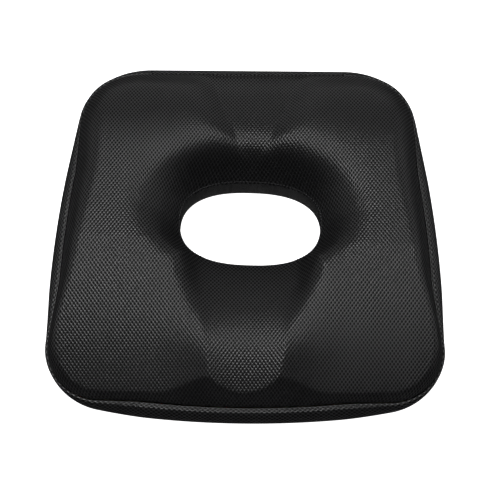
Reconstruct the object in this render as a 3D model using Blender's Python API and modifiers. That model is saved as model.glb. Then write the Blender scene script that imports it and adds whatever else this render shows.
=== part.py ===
"""Contoured seat cushion: a moulded foam ring in a zipped mesh cover.

Metres, +Z up. The cushion lies on z = 0 with its front towards -Y, and the origin is under the middle of
its box. The cover is cut as a top panel, a side band, two back strips that hold the zip, a hole lining and
a bottom panel.
"""

import math

import bmesh
import bpy
import numpy as np

# Plan of the top and bottom seams: a straight back, round corners, crowned sides and a crowned front.
SEAM_WIDTH = 0.414
SEAM_DEPTH = 0.397
BACK_CORNER_RADIUS = 0.073
FRONT_CORNER_RADIUS = 0.057
SIDE_LEAN = math.radians(10.5)
SIDE_TOE = math.radians(2.0)
FRONT_CROWN = math.radians(8.5)

# The cloth is drawn tight round the corners, which carries the top seam out over the band there. Each pull
# rises and falls over lengths of seam: past the back's straight run, and from the middle of the front.
BACK_PULL = 0.008
BACK_PULL_RISE = (0.0, 0.070)
BACK_PULL_FALL = (0.085, 0.175)
FRONT_PULL = 0.010
FRONT_PULL_RISE = (0.100, 0.215)
FRONT_PULL_FALL = (0.225, 0.320)

# Heights above the surface that the cushion lies on.
FRONT_SEAM_HEIGHT = 0.030
BACK_SEAM_HEIGHT = 0.050
RIDGE_HEIGHT = 0.084
FRONT_SEAT_HEIGHT = 0.038
BACK_SEAT_HEIGHT = 0.059
HOLE_RIM_HEIGHT = 0.032

# The hole, and how far the moulded relief sits off the middle of the cover.
HOLE_LENGTH = 0.160
HOLE_WIDTH = 0.101
HOLE_ROUNDNESS = 2.5
HOLE_TO_BACK_SEAM = 0.184
HOLE_OFFSET = 0.0046
RELIEF_TURN = math.radians(-1.5)

# The seat's fall from its ridge: where it starts ahead of the hole, the straight part of its fall to the
# front, and the power of its fall to the back.
FRONT_FALL_START = HOLE_WIDTH * 0.4
FRONT_FALL_STRAIGHT = 0.45
BACK_FALL_POWER = 2.1

# The bowl around the hole, as rise over run to the sides, to the back and to the front corners. The pommel's
# ramp cuts through it between steep cheeks. Both start a little high, to make up for what the blend lowers.
BOWL_SIDE_SLOPE = 1.75
BOWL_BACK_SLOPE = 1.60
BOWL_CORNER_SLOPE = 3.2
BOWL_BLEND = 0.020
BOWL_FOOT_LIFT = 0.0016
RAMP_SLOPE = 0.66
RAMP_CHEEK_SLOPE = 2.3
RAMP_CHEEK_BLEND = 0.004
RAMP_BACK_SLOPE = 3.0

# The pommel between the thighs, from the hole to its two front tips.
POMMEL_ROOT_HALF_WIDTH = 0.059
POMMEL_ROOT_REACH = 0.072
POMMEL_TIP_HALF_WIDTH = 0.038
POMMEL_TIP_TO_SEAM = 0.032
POMMEL_LIFT = 0.013
POMMEL_LIFT_RUN = 0.8
POMMEL_FALL = 0.030
POMMEL_DISH = 0.0035
POMMEL_ROOT_DISH = 0.006

# The tailbone recess from the back seam to its tip behind the hole.
RECESS_REACH = 0.068
RECESS_HALF_WIDTH = 0.052
RECESS_SPREAD = 0.6
RECESS_TIP_HEIGHT = 0.081
RECESS_SLOPE = 0.26
RECESS_WALL_SLOPE = 0.5
RECESS_BLEND = 0.0030

# How far in from the seam the top reaches its full height, and the power of its rise. The side shoulder is
# full from a share of the depth on, and the pommel's tips have their own.
SIDE_SHOULDER = 0.034
SIDE_SHOULDER_FULL = 0.625
FRONT_SHOULDER = 0.007
SHOULDER_ROUNDNESS = 2.2
TIP_SHOULDER = 0.024
TIP_ROUNDNESS = 1.35
TIP_SPREAD = 0.058
TIP_HOLLOW = 0.15

# Cover cloth, seams and foam.
COVER_THICKNESS = 0.003
BOTTOM_THICKNESS = 0.0025
LINING_THICKNESS = 0.002
BAND_BULGE = 0.0145
BAND_PULL_LOSS = 0.8
SEAM_GAP = 0.001
FOAM_CLEARANCE = 0.0018
SEAM_RELIEF = 0.0045
THREAD_RADIUS = 0.0006
THREAD_CLEARANCE = 0.0004
TOPSTITCH_INSET = 0.0035
TOPSTITCH_RADIUS = 0.00035
TOPSTITCH_LIFT = 0.0011

# Zip, which runs along the straight back.
ZIP_OPENING = 0.012
ZIP_RELIEF = 0.0036
TAPE_THICKNESS = 0.0006
TAPE_WIDTH = 0.0115
TAPE_STITCH_INSET = 0.0016
COIL_GAP = 0.0012
COIL_WIDTH = 0.0024
COIL_HEIGHT = 0.0020
ZIP_CLEARANCE = 0.0005
END_TAB_LENGTH = 0.010
STOP_LENGTH = 0.0022
SLIDER_LENGTH = 0.011
SLIDER_PLATE = 0.0011
SLIDER_FLANGE = 0.0012
SLIDER_POST = 0.0005
BRIDGE_WIDTH = 0.0024
BRIDGE_WALL = 0.0010
PULL_LENGTH = 0.026
PULL_WIDTH = 0.0068
PULL_THICKNESS = 0.0012
PULL_BAR = 0.0013
PULL_SLACK = 0.0001
METAL_ROUNDING = 0.0004
COIL_ROUNDING = 0.0006

# How finely the curved pieces are faceted.
BACK_STEPS = 12
ROUND_STEPS = 60
TOP_STEPS = 13
BAND_STEPS = 8

COLLECTION = "seat_cushion"


def clear_scene():
    for item in list(bpy.data.objects):
        bpy.data.objects.remove(item)


def plan_arcs():
    """Half of the seam's plan, clockwise from the middle of the back to the middle of the front.

    It gives the straight half of the back and the arcs as (radius, heading, turn). Three conditions fix the
    three free lengths: the half width, the depth, and the front meeting the middle line.
    """
    turns = [
        math.pi / 2 - SIDE_LEAN,
        SIDE_LEAN,
        SIDE_TOE,
        math.pi / 2 - SIDE_TOE - FRONT_CROWN,
        FRONT_CROWN,
    ]
    headings = [-sum(turns[:index]) for index in range(len(turns))]
    runs = [arc_run(heading, turn) for heading, turn in zip(headings, turns)]
    back, side_out, side_in, corner, front = runs
    unknowns = np.array(
        [
            [1.0, side_out[0], 0.0],
            [1.0, side_out[0] + side_in[0], front[0]],
            [0.0, side_out[1] + side_in[1], front[1]],
        ]
    )
    known = np.array(
        [
            SEAM_WIDTH / 2 - BACK_CORNER_RADIUS * back[0],
            -BACK_CORNER_RADIUS * back[0] - FRONT_CORNER_RADIUS * corner[0],
            -SEAM_DEPTH - BACK_CORNER_RADIUS * back[1] - FRONT_CORNER_RADIUS * corner[1],
        ]
    )
    straight, side_radius, front_radius = np.linalg.solve(unknowns, known)
    arcs = [
        (BACK_CORNER_RADIUS, headings[0], turns[0]),
        (side_radius, headings[1], turns[1] + turns[2]),
        (FRONT_CORNER_RADIUS, headings[3], turns[3]),
        (front_radius, headings[4], turns[4]),
    ]
    return straight, arcs


def arc_run(heading, turn):
    """How far a clockwise arc of unit radius goes, for its first heading and its turn."""
    return (
        np.sin(heading) - np.sin(heading - turn),
        np.cos(heading - turn) - np.cos(heading),
    )


def seam_plan(distances):
    """Points and outward directions of the seam, at distances along it from the middle of the back.

    Distances grow clockwise, seen from above, and negative ones run the other way.
    """
    distances = np.asarray(distances, float)
    straight, arcs = plan_arcs()
    along = np.abs(distances)
    x = np.minimum(along, straight)
    y = np.full_like(along, BACK_Y)
    heading = np.zeros_like(along)
    start = straight
    for radius, first, turn in arcs:
        turned = np.clip((along - start) / radius, 0.0, turn)
        run = arc_run(first, turned)
        x = x + radius * run[0]
        y = y + radius * run[1]
        heading = heading - turned
        start += radius * turn
    side = np.where(distances < 0, -1.0, 1.0)
    points = np.stack([side * x, y], axis=-1)
    outward = np.stack([-side * np.sin(heading), np.cos(heading)], axis=-1)
    return points, outward


def zip_face_lift():
    """How far the zip's bridge stands out past the band."""
    return PLATE_TOP + PULL_AXIS_LIFT + PULL_AXIS_TO_ROOF + BRIDGE_WALL


# Layers of the zip, measured outwards from the band's outermost line.
TAPE_FACE = -COVER_THICKNESS - ZIP_CLEARANCE
COIL_TOP = TAPE_FACE + ZIP_CLEARANCE + COIL_HEIGHT
PLATE_TOP = COIL_TOP + ZIP_CLEARANCE + SLIDER_PLATE
PULL_AXIS_LIFT = math.hypot(PULL_BAR, PULL_THICKNESS) / 2 + ZIP_CLEARANCE
PULL_AXIS_TO_ROOF = PULL_AXIS_LIFT + PULL_SLACK

# The seams' back line, placed so that the origin is under the middle of the whole box.
BACK_Y = (SEAM_DEPTH - zip_face_lift()) / 2
HALF_RUN = plan_arcs()[0]
HALF_LENGTH = HALF_RUN + sum(radius * turn for radius, first, turn in plan_arcs()[1])
HOLE_CENTRE = np.array([HOLE_OFFSET, BACK_Y - HOLE_TO_BACK_SEAM])


def rise(value, span):
    """Rises smoothly from 0 to 1 as the value crosses a span."""
    return ease((value - span[0]) / (span[1] - span[0]))


def top_seam(distances):
    """Points and outward directions of the top seam: the plan, pulled outwards at the corners."""
    points, outward = seam_plan(distances)
    past_back = np.abs(distances) - HALF_RUN
    from_front = HALF_LENGTH - np.abs(distances)
    back = rise(past_back, BACK_PULL_RISE) * (1 - rise(past_back, BACK_PULL_FALL))
    front = rise(from_front, FRONT_PULL_RISE) * (1 - rise(from_front, FRONT_PULL_FALL))
    return points + outward * (BACK_PULL * back + FRONT_PULL * front)[:, None], outward


def stations():
    """Distances along the seam at which every piece has a corner, clockwise from the right back seam."""
    around = np.linspace(HALF_RUN, 2 * HALF_LENGTH - HALF_RUN, ROUND_STEPS + 1)
    back = np.linspace(-HALF_RUN, HALF_RUN, BACK_STEPS + 1)[1:-1]
    around = np.where(around > HALF_LENGTH, around - 2 * HALF_LENGTH, around)
    return np.concatenate([around, back])


def seam_height(y):
    """The seam rises in a straight line from the front to the back."""
    share = (y - (BACK_Y - SEAM_DEPTH)) / SEAM_DEPTH
    return FRONT_SEAM_HEIGHT + (BACK_SEAM_HEIGHT - FRONT_SEAM_HEIGHT) * share


def to_relief(points):
    """Plan points in the relief's own axes, from the hole's centre and turned with the moulding."""
    away = points - HOLE_CENTRE
    c, s = math.cos(RELIEF_TURN), math.sin(RELIEF_TURN)
    return away[..., 0] * c + away[..., 1] * s, away[..., 1] * c - away[..., 0] * s


def hole_reach(u, v):
    """Distance from the hole's centre to its rim in the direction of (u, v)."""
    size = np.hypot(u, v)
    across = np.abs(u / size / (HOLE_LENGTH / 2)) ** HOLE_ROUNDNESS
    along = np.abs(v / size / (HOLE_WIDTH / 2)) ** HOLE_ROUNDNESS
    return (across + along) ** (-1 / HOLE_ROUNDNESS)


def ease(value):
    """Rises smoothly from 0 at 0 to 1 at 1."""
    value = np.clip(value, 0.0, 1.0)
    return value * value * (3 - 2 * value)


def soft_min(first, second, blend):
    """The lower of two heights, rounded over where they cross."""
    return -blend * np.logaddexp(-first / blend, -second / blend)


def pommel_half_width(forward):
    """Half the pommel's width, from its root to its tips."""
    return POMMEL_ROOT_HALF_WIDTH + (POMMEL_TIP_HALF_WIDTH - POMMEL_ROOT_HALF_WIDTH) * forward


def pommel_share(v):
    """How far along the pommel a point lies: 0 at the root and 1 at the tips."""
    tip_reach = SEAM_DEPTH - HOLE_TO_BACK_SEAM - POMMEL_TIP_TO_SEAM
    return (-v - POMMEL_ROOT_REACH) / (tip_reach - POMMEL_ROOT_REACH)


def seat_height(u, v):
    """The seat without its bowl: highest beside the hole, falling to the front and back, with the pommel."""
    to_front = SEAM_DEPTH - HOLE_TO_BACK_SEAM
    ahead = np.maximum(-v - FRONT_FALL_START, 0.0) / (to_front - FRONT_FALL_START)
    behind = np.maximum(v - RECESS_REACH, 0.0) / (HOLE_TO_BACK_SEAM - RECESS_REACH)
    front_fall = FRONT_FALL_STRAIGHT * ahead + (1 - FRONT_FALL_STRAIGHT) * ahead**2
    seat = RIDGE_HEIGHT - (RIDGE_HEIGHT - FRONT_SEAT_HEIGHT) * front_fall
    seat = seat - (RIDGE_HEIGHT - BACK_SEAT_HEIGHT) * behind**BACK_FALL_POWER

    forward = np.clip(pommel_share(v), -0.5, 1.0)
    edge = pommel_half_width(forward)
    outside = np.maximum(np.abs(u) - edge, 0.0)
    inside = np.clip(1 - (u / edge) ** 2, 0.0, 1.0)
    dish = POMMEL_DISH + (POMMEL_ROOT_DISH - POMMEL_DISH) * np.clip(1 - forward, 0.0, 1.0) ** 2
    lift = POMMEL_LIFT * ease(forward / POMMEL_LIFT_RUN) * np.exp(-outside / POMMEL_FALL)
    return seat + lift - dish * ease(-v / HOLE_WIDTH) * inside


def bowl_height(u, v):
    """The bowl's slope, which rises from the hole's rim, with the pommel's gentler ramp cut through it."""
    size = np.hypot(u, v)
    back, front = np.clip(v / size, 0.0, 1.0), np.clip(-v / size, 0.0, 1.0)
    slope = BOWL_SIDE_SLOPE + (BOWL_BACK_SLOPE - BOWL_SIDE_SLOPE) * back**2
    slope = slope + (BOWL_CORNER_SLOPE - BOWL_SIDE_SLOPE) * front
    bowl = HOLE_RIM_HEIGHT + BOWL_FOOT_LIFT + slope * np.maximum(size - hole_reach(u, v), 0.0)
    return np.minimum(bowl, ramp_height(u, v))


def ramp_height(u, v):
    """The pommel's root: a plane that rises forwards from the hole's front rim, between steep cheeks."""
    across = np.clip(np.abs(u) / (HOLE_LENGTH / 2), 0.0, 1.0)
    ahead = -v - HOLE_WIDTH / 2 * (1 - across**HOLE_ROUNDNESS) ** (1 / HOLE_ROUNDNESS)
    edge = pommel_half_width(np.clip(pommel_share(v), 0.0, 1.0))
    cheek = RAMP_CHEEK_SLOPE * -soft_min(edge - np.abs(u), 0.0, RAMP_CHEEK_BLEND)
    behind = RAMP_BACK_SLOPE * np.maximum(-ahead, 0.0)
    foot = HOLE_RIM_HEIGHT + BOWL_FOOT_LIFT
    return foot + RAMP_SLOPE * np.maximum(ahead, 0.0) + cheek + behind


def recess_height(u, v):
    """The tailbone recess: a floor that falls to the back and widens, between sloping walls."""
    floor = RECESS_TIP_HEIGHT - RECESS_SLOPE * (v - RECESS_REACH)
    depth = np.clip((v - RECESS_REACH) / (HOLE_TO_BACK_SEAM - RECESS_REACH), 0.0, 1.0)
    return floor + RECESS_WALL_SLOPE * np.maximum(np.abs(u) - RECESS_HALF_WIDTH * depth**RECESS_SPREAD, 0.0)


def top_height(points, inward, seam_z, front_facing):
    """Height of the top at plan points that lie `inward` of a seam at height seam_z."""
    u, v = to_relief(points)
    seat = soft_min(seat_height(u, v), recess_height(u, v), RECESS_BLEND)
    relief = soft_min(seat, bowl_height(u, v), BOWL_BLEND)
    past = np.abs(u) - POMMEL_TIP_HALF_WIDTH
    between = TIP_HOLLOW + (1 - TIP_HOLLOW) * (u / POMMEL_TIP_HALF_WIDTH) ** 2
    tips = np.where(past > 0, 1 - ease(past / TIP_SPREAD), between)
    at_front = FRONT_SHOULDER + (TIP_SHOULDER - FRONT_SHOULDER) * tips
    back_share = (points[..., 1] - (BACK_Y - SEAM_DEPTH)) / SEAM_DEPTH
    side_share = np.clip(back_share / SIDE_SHOULDER_FULL, 0.0, 1.0)
    beside = FRONT_SHOULDER + (SIDE_SHOULDER - FRONT_SHOULDER) * side_share
    shoulder = beside + (at_front - beside) * front_facing
    roundness = SHOULDER_ROUNDNESS + (TIP_ROUNDNESS - SHOULDER_ROUNDNESS) * tips * front_facing
    share = np.clip(inward / shoulder, 0.0, 1.0)
    return seam_z + (relief - seam_z) * (1 - (1 - share) ** roundness)


def top_rings(distances, steps):
    """The top's rings of points, from the hole's rim out to the seam, closer together at both ends."""
    seam, outward = top_seam(distances)
    direction, rim = hole_rim(seam)
    squareness = np.sum(direction * outward, axis=1)
    front_facing = np.clip(-outward[:, 1], 0.0, 1.0) ** 4
    rings = []
    for step in range(steps + 1):
        share = 0.5 - 0.5 * math.cos(math.pi * step / steps)
        points = rim + (seam - rim) * share
        inward = np.linalg.norm(seam - points, axis=1) * squareness
        z = top_height(points, inward, seam_height(seam[:, 1]), front_facing)
        rings.append(np.column_stack([points, z]))
    return np.array(rings)


def band_rings(distances, steps):
    """The band's rings from the top seam round its bulge to the bottom seam, closer together at both.

    The band stands out less where the top seam is pulled out over it.
    """
    foot, outward = seam_plan(distances)
    top = top_seam(distances)[0]
    proud = outward * (BAND_BULGE - BAND_PULL_LOSS * np.linalg.norm(top - foot, axis=1))[:, None]
    height = seam_height(top[:, 1])
    rings = []
    for step in range(steps + 1):
        angle = math.pi * (0.5 - 0.5 * math.cos(math.pi * step / steps))
        share = (1 + math.cos(angle)) / 2
        points = foot + (top - foot) * share + proud * math.sin(angle)
        rings.append(np.column_stack([points, height * share]))
    return np.array(rings)


def hole_rim(seam):
    """Directions from the hole's centre to points on the seam, and where they cross the hole's rim."""
    away = seam - HOLE_CENTRE
    direction = away / np.linalg.norm(away, axis=1)[:, None]
    return direction, HOLE_CENTRE + direction * hole_reach(*to_relief(seam))[:, None]


def hole_ring(distances, outside, z):
    """A ring that follows the hole's rim in plan, `outside` away from it and at height z."""
    rim = hole_rim(top_seam(distances)[0])[1]
    ahead = np.roll(rim, -1, axis=0) - np.roll(rim, 1, axis=0)
    normal = np.column_stack([-ahead[:, 1], ahead[:, 0]]) / np.linalg.norm(ahead, axis=1)[:, None]
    return np.column_stack([rim + normal * outside, np.full(len(rim), z)])


def ring_normals(rings, closed):
    """Outward directions at the points of stacked rings, from the steps to the neighbours."""
    if closed:
        around = np.roll(rings, -1, axis=1) - np.roll(rings, 1, axis=1)
    else:
        around = np.gradient(rings, axis=1)
    across = np.gradient(rings, axis=0)
    normals = np.cross(around, across)
    return normals / np.linalg.norm(normals, axis=2)[..., None]


def material(name, colour, roughness, metallic=0.0):
    made = bpy.data.materials.new(name)
    made.use_nodes = True
    shader = made.node_tree.nodes["Principled BSDF"]
    shader.inputs["Base Color"].default_value = (*colour, 1.0)
    shader.inputs["Roughness"].default_value = roughness
    shader.inputs["Metallic"].default_value = metallic
    return made


def add_object(name, mesh, finish):
    mesh.materials.append(finish)
    made = bpy.data.objects.new(name, mesh)
    bpy.data.collections[COLLECTION].objects.link(made)
    return made


def loft(name, rings, finish, closed=True, joined=False):
    """Skins stacked rings with quads. closed joins each ring's ends, joined the last ring to the first."""
    count = len(rings[0])
    shape = bmesh.new()
    rows = [[shape.verts.new(point) for point in ring] for ring in rings]
    if joined:
        rows.append(rows[0])
    for row, following in zip(rows, rows[1:]):
        for index in range(count if closed else count - 1):
            after = (index + 1) % count
            shape.faces.new([row[index], row[after], following[after], following[index]])
    mesh = bpy.data.meshes.new(name)
    shape.to_mesh(mesh)
    shape.free()
    mesh.shade_smooth()
    return add_object(name, mesh, finish)


def sheet(name, rings, thickness, finish, closed=True):
    """A piece of cloth whose outer face is the lofted rings, with its thickness on the inside."""
    made = loft(name, rings, finish, closed)
    wall = made.modifiers.new("thickness", "SOLIDIFY")
    wall.thickness = thickness
    wall.offset = -1.0
    wall.use_even_offset = False
    return made


def thread(name, centres, radius, finish):
    """A closed ring of thread with a square section, round the given centres."""
    around = np.roll(centres, -1, axis=0) - np.roll(centres, 1, axis=0)
    side = np.cross(around, [0.0, 0.0, 1.0])
    side = side / np.linalg.norm(side, axis=1)[:, None] * radius
    up = np.array([0.0, 0.0, radius])
    return loft(name, [centres + side, centres + up, centres - side, centres - up], finish, joined=True)


def box(name, low, high, finish):
    """A box between two opposite corners."""
    low, high = np.array(low), np.array(high)
    shape = bmesh.new()
    bmesh.ops.create_cube(shape, size=1.0)
    bmesh.ops.scale(shape, vec=high - low, verts=shape.verts)
    bmesh.ops.translate(shape, vec=(low + high) / 2, verts=shape.verts)
    mesh = bpy.data.meshes.new(name)
    shape.to_mesh(mesh)
    shape.free()
    return add_object(name, mesh, finish)


def bevel(piece, width, segments=2):
    rounding = piece.modifiers.new("rounding", "BEVEL")
    rounding.width = width
    rounding.segments = segments
    rounding.limit_method = "ANGLE"


def make_cover(around, mesh_cloth, lining_cloth, grip_cloth):
    """The cover's cloth pieces, apart from the back strips."""
    top = top_rings(around, TOP_STEPS)
    seam, outward = seam_plan(around)
    top[-1, :, :2] -= outward * SEAM_GAP / 2
    sheet("cover_top_panel", top, COVER_THICKNESS, mesh_cloth)

    ends = ROUND_STEPS + 1
    band = band_rings(around[:ends], BAND_STEPS)
    band[:, 0, :2] += [SEAM_GAP / 2, 0.0]
    band[:, -1, :2] -= [SEAM_GAP / 2, 0.0]
    band[0, :, :2] += outward[:ends] * SEAM_GAP / 2
    band[-1, :, :2] += outward[:ends] * SEAM_GAP / 2
    sheet("cover_side_band", band, COVER_THICKNESS, mesh_cloth, closed=False)

    panel_edge = COVER_THICKNESS * math.cos(math.atan(RAMP_SLOPE))
    lining_top = HOLE_RIM_HEIGHT - panel_edge - SEAM_GAP
    lining_bottom = BOTTOM_THICKNESS + SEAM_GAP
    heights = np.linspace(lining_bottom, lining_top, 3)
    walls = [hole_ring(around, 0.0, z) for z in heights]
    sheet("cover_hole_lining", walls, LINING_THICKNESS, lining_cloth)

    edge = np.column_stack([seam - outward * SEAM_GAP, np.zeros(len(seam))])
    inner = hole_ring(around, 0.0, 0.0)
    sheet("cover_bottom_panel", [edge, (edge + inner) / 2, inner], BOTTOM_THICKNESS, grip_cloth)


def make_foam(around, finish):
    """The moulded core: the cover's shape drawn in by the cloth and a clearance, and further in at seams."""
    inset = COVER_THICKNESS + FOAM_CLEARANCE
    seam, outward = seam_plan(around)
    back = ease((HALF_RUN + BACK_CORNER_RADIUS - np.abs(seam[:, 0])) / BACK_CORNER_RADIUS)
    back = np.where(seam[:, 1] > BACK_Y - BACK_CORNER_RADIUS, back, 0.0)

    top = top_rings(around, TOP_STEPS)
    skin = np.concatenate([top[:-1], band_rings(around, BAND_STEPS)])
    normals = ring_normals(skin, closed=True)
    depth = np.full(skin.shape[:2], inset)
    depth[TOP_STEPS - 1 : TOP_STEPS + 3] += SEAM_RELIEF
    depth[TOP_STEPS + BAND_STEPS - 1 :] += SEAM_RELIEF
    depth[TOP_STEPS + 1 : -1] += ZIP_RELIEF * back
    core = skin - normals * depth[..., None]

    wall = LINING_THICKNESS + FOAM_CLEARANCE
    floor = BOTTOM_THICKNESS + FOAM_CLEARANCE
    under_rim = RAMP_SLOPE * (wall + SEAM_RELIEF) - inset * math.hypot(1.0, RAMP_SLOPE)
    rim = hole_ring(around, wall + SEAM_RELIEF, HOLE_RIM_HEIGHT + under_rim)
    under_edge = np.column_stack([seam - outward * 2 * SEAM_RELIEF, np.full(len(seam), floor)])
    hole_edge = hole_ring(around, wall + SEAM_RELIEF, floor)
    hole_foot = hole_ring(around, wall, floor + SEAM_RELIEF)
    hole_top = hole_ring(around, wall, HOLE_RIM_HEIGHT - COVER_THICKNESS - 1.5 * SEAM_RELIEF)
    rings = [hole_foot, hole_top, rim, *core[2:], under_edge, hole_edge]
    loft("foam_core", rings, finish, joined=True)


def make_threads(around, finish):
    """The overlocked seams inside the cover, and the row of topstitching round the hole."""
    foot = seam_plan(around)[0]
    seam, outward = top_seam(around)
    reach = THREAD_RADIUS + THREAD_CLEARANCE
    top_z = seam_height(seam[:, 1])[:, None] - COVER_THICKNESS - reach
    inside = seam - outward * (COVER_THICKNESS / 2)
    thread("top_seam_overlock", np.hstack([inside, top_z]), THREAD_RADIUS, finish)
    under_z = np.full((len(foot), 1), COVER_THICKNESS + reach)
    thread("bottom_seam_overlock", np.hstack([foot, under_z]), THREAD_RADIUS, finish)
    corner = LINING_THICKNESS + reach
    rim = hole_ring(around, corner, HOLE_RIM_HEIGHT - COVER_THICKNESS - reach)
    thread("hole_rim_overlock", rim, THREAD_RADIUS, finish)
    foot = hole_ring(around, corner, BOTTOM_THICKNESS + reach)
    thread("hole_foot_overlock", foot, THREAD_RADIUS, finish)

    top = top_rings(around, TOP_STEPS)
    normals = ring_normals(top, closed=True)
    share = TOPSTITCH_INSET / np.linalg.norm(top[1] - top[0], axis=1)[:, None]
    row = top[0] + (top[1] - top[0]) * share
    row = row + normals[1] * TOPSTITCH_LIFT
    thread("hole_topstitch", row, TOPSTITCH_RADIUS, finish)


def back_angles(low, high, steps):
    """Angles round the back band between two heights, both measured up from the zip's centre line."""
    half = BACK_SEAM_HEIGHT / 2
    return np.linspace(math.acos(high / half), math.acos(low / half), steps + 1)


def back_strip(name, angles, depth, thickness, half_length, finish):
    """A straight strip that follows the back band's section, `depth` inside its outer face."""
    sections = [section_point(angle, depth) for angle in angles]
    rings = [[(-half_length, y, z), (half_length, y, z)] for y, z in sections]
    return sheet(name, np.array(rings), thickness, finish, closed=False)


def section_point(angle, depth):
    """Y and Z on the back band's section at an angle from its top, `depth` inside its outer face."""
    half = BACK_SEAM_HEIGHT / 2
    out = np.array([math.sin(angle) * half, math.cos(angle) * BAND_BULGE])
    out = out / np.linalg.norm(out)
    y = BACK_Y + BAND_BULGE * math.sin(angle) - depth * out[0]
    return y, half * (1 + math.cos(angle)) - depth * out[1]


def thread_line(name, points, radius, finish):
    """An open length of round thread through the points."""
    line = bpy.data.curves.new(name, "CURVE")
    line.dimensions = "3D"
    line.bevel_depth = radius
    line.bevel_resolution = 1
    line.use_fill_caps = True
    spline = line.splines.new("POLY")
    spline.points.add(len(points) - 1)
    for target, point in zip(spline.points, points):
        target.co = (*point, 1.0)
    line.materials.append(finish)
    made = bpy.data.objects.new(name, line)
    bpy.data.collections[COLLECTION].objects.link(made)


def make_back_stitching(finish):
    """The upright seams inside the band's two ends, and the rows that hold the tapes to the strips."""
    under = COVER_THICKNESS + 2 * THREAD_CLEARANCE + THREAD_RADIUS
    angles = np.linspace(math.pi / 4, 3 * math.pi / 4, 7)
    upright = [section_point(angle, under) for angle in angles]
    for name, side in (("band_seam_left", -1), ("band_seam_right", 1)):
        thread_line(name, [(side * HALF_RUN, y, z) for y, z in upright], THREAD_RADIUS, finish)
    half = BACK_SEAM_HEIGHT / 2
    proud = -(TOPSTITCH_RADIUS + THREAD_CLEARANCE)
    end = HALF_RUN - END_TAB_LENGTH / 2
    for name, side in (("zip_stitch_upper", 1), ("zip_stitch_lower", -1)):
        y, z = section_point(math.acos(side * (ZIP_OPENING / 2 + TAPE_STITCH_INSET) / half), proud)
        thread_line(name, [(-end, y, z), (end, y, z)], TOPSTITCH_RADIUS, finish)


def make_back(mesh_cloth, tape_cloth):
    """The two back strips, the zip's tapes sewn under them, and the end tabs."""
    half = BACK_SEAM_HEIGHT / 2
    opening = ZIP_OPENING / 2
    run = HALF_RUN - SEAM_GAP / 2
    top_cut = half * math.cos(SEAM_GAP / BAND_BULGE)
    upper = back_angles(opening, top_cut, 6)
    back_strip("cover_back_strip_upper", upper, 0.0, COVER_THICKNESS, run, mesh_cloth)
    lower = back_angles(-top_cut, -opening, 6)
    back_strip("cover_back_strip_lower", lower, 0.0, COVER_THICKNESS, run, mesh_cloth)

    depth = -TAPE_FACE
    inner = COIL_GAP / 2
    length = HALF_RUN - THREAD_RADIUS - 2 * THREAD_CLEARANCE - SEAM_GAP
    above = back_angles(inner, inner + TAPE_WIDTH, 4)
    back_strip("zip_tape_upper", above, depth, TAPE_THICKNESS, length, tape_cloth)
    below = back_angles(-inner - TAPE_WIDTH, -inner, 4)
    back_strip("zip_tape_lower", below, depth, TAPE_THICKNESS, length, tape_cloth)

    face = BACK_Y + BAND_BULGE
    tab_half = opening - SEAM_GAP
    for name, side in (("zip_end_tab_left", -1), ("zip_end_tab_right", 1)):
        ends = sorted([side * run, side * (run - END_TAB_LENGTH)])
        low = (ends[0], face - COVER_THICKNESS, half - tab_half)
        tab = box(name, low, (ends[1], face - 2 * SEAM_GAP, half + tab_half), mesh_cloth)
        bevel(tab, METAL_ROUNDING, 1)


def make_zip(coil_finish, metal):
    """The chain's two halves, the stops, and the slider with its pull."""
    face = BACK_Y + BAND_BULGE
    middle = BACK_SEAM_HEIGHT / 2
    stop_end = HALF_RUN - SEAM_GAP / 2 - END_TAB_LENGTH - ZIP_CLEARANCE
    chain = stop_end - STOP_LENGTH - ZIP_CLEARANCE
    coil_low, coil_high = face + COIL_TOP - COIL_HEIGHT, face + COIL_TOP
    near, far = COIL_GAP / 2, COIL_GAP / 2 + COIL_WIDTH
    for name, z in (("zip_coil_upper", (near, far)), ("zip_coil_lower", (-far, -near))):
        coil = box(name, (-chain, coil_low, middle + z[0]), (chain, coil_high, middle + z[1]), coil_finish)
        bevel(coil, COIL_ROUNDING)
    for name, side in (("zip_stop_left", -1), ("zip_stop_right", 1)):
        ends = sorted([side * stop_end, side * (stop_end - STOP_LENGTH)])
        low = (ends[0], coil_low, middle - far)
        stop = box(name, low, (ends[1], coil_high, middle + far), metal)
        bevel(stop, METAL_ROUNDING)

    centre = chain - SLIDER_LENGTH / 2 - ZIP_CLEARANCE
    make_slider(centre, face, middle, metal)
    make_pull(centre, face + PLATE_TOP + PULL_AXIS_LIFT, middle, metal)


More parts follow.
